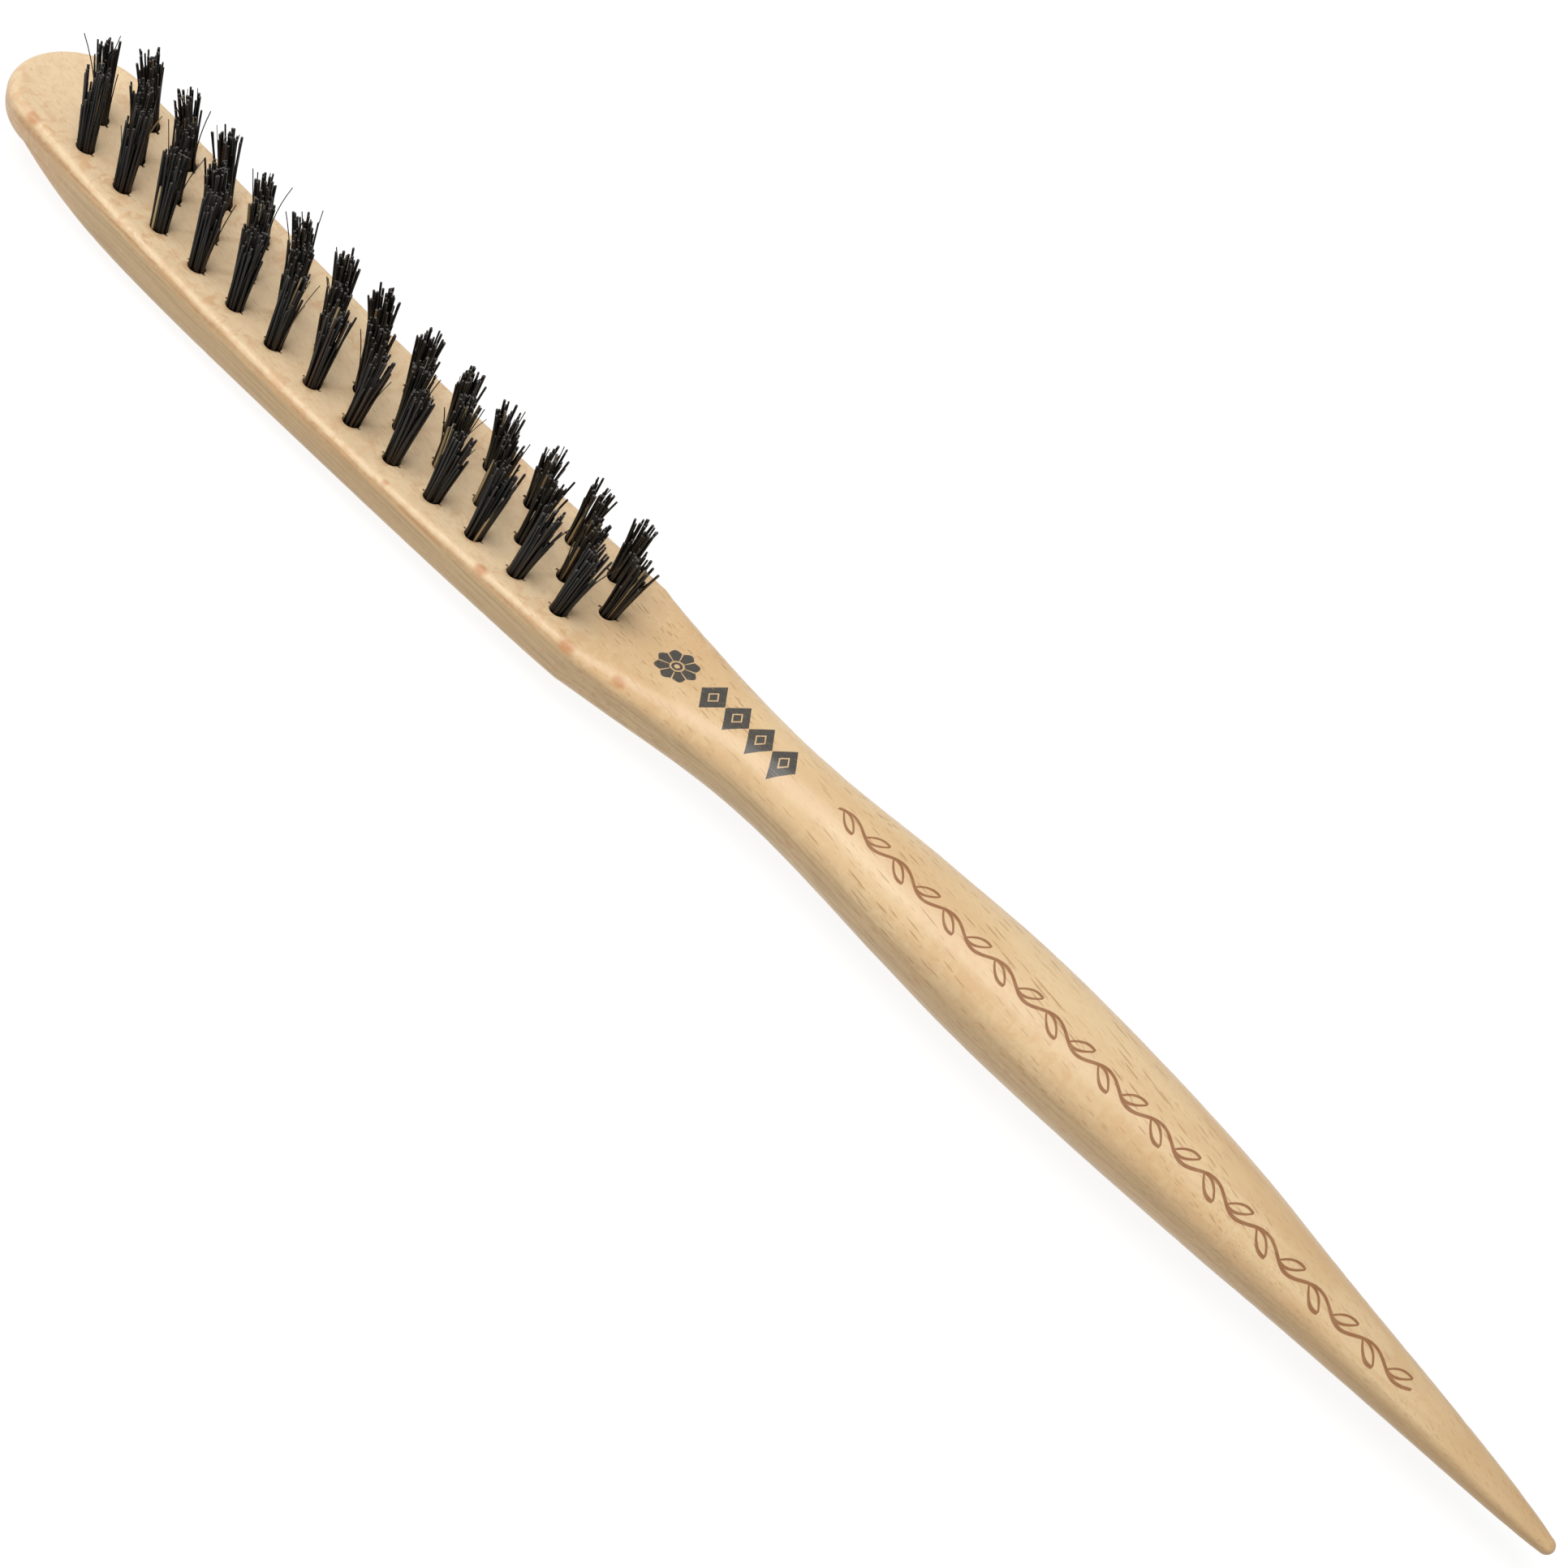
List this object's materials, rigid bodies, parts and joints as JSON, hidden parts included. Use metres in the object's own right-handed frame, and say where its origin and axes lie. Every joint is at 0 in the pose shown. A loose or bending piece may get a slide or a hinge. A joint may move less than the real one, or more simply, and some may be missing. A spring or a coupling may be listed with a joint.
{
  "type": "back-combing brush",
  "caption": "Slim wooden dressing-out brush for back-combing hair: staggered rows of stiff dark bristle tufts on a narrow head, waisted neck, swelling grip and pointed sectioning tail.",
  "frame": {"origin": "centre of the bounding box in plan, at the level of the back's lowest point, which touches the bench", "axes": "+X from the head tip towards the pointed tail, +Y across to the left row of tufts, +Z out of the bristle face; the brush lies on its back"},
  "size_m": [0.224, 0.018, 0.0179],
  "materials": {
    "lacquered_beech": "clear satin lacquer over pale beech",
    "boar_bristle": "dark natural bristle, slightly glossy",
    "anchor_wire": "flat drawn wire"
  },
  "bodies": {
    "root": {"brush_body": "lacquered_beech", "tuft_left_01": "boar_bristle", "tuft_left_02": "boar_bristle", "tuft_left_03": "boar_bristle", "tuft_left_04": "boar_bristle", "tuft_left_05": "boar_bristle", "tuft_left_06": "boar_bristle", "tuft_left_07": "boar_bristle", "tuft_left_08": "boar_bristle", "tuft_left_09": "boar_bristle", "tuft_left_10": "boar_bristle", "tuft_left_11": "boar_bristle", "tuft_left_12": "boar_bristle", "tuft_left_13": "boar_bristle", "tuft_middle_01": "boar_bristle", "tuft_middle_02": "boar_bristle", "tuft_middle_03": "boar_bristle", "tuft_middle_04": "boar_bristle", "tuft_middle_05": "boar_bristle", "tuft_middle_06": "boar_bristle", "tuft_middle_07": "boar_bristle", "tuft_middle_08": "boar_bristle", "tuft_middle_09": "boar_bristle", "tuft_middle_10": "boar_bristle", "tuft_middle_11": "boar_bristle", "tuft_middle_12": "boar_bristle", "tuft_middle_13": "boar_bristle", "tuft_middle_14": "boar_bristle", "tuft_right_01": "boar_bristle", "tuft_right_02": "boar_bristle", "tuft_right_03": "boar_bristle", "tuft_right_04": "boar_bristle", "tuft_right_05": "boar_bristle", "tuft_right_06": "boar_bristle", "tuft_right_07": "boar_bristle", "tuft_right_08": "boar_bristle", "tuft_right_09": "boar_bristle", "tuft_right_10": "boar_bristle", "tuft_right_11": "boar_bristle", "tuft_right_12": "boar_bristle", "tuft_right_13": "boar_bristle", "anchors_left_row": "anchor_wire", "anchors_middle_row": "anchor_wire", "anchors_right_row": "anchor_wire"}
  },
  "joints": []
}
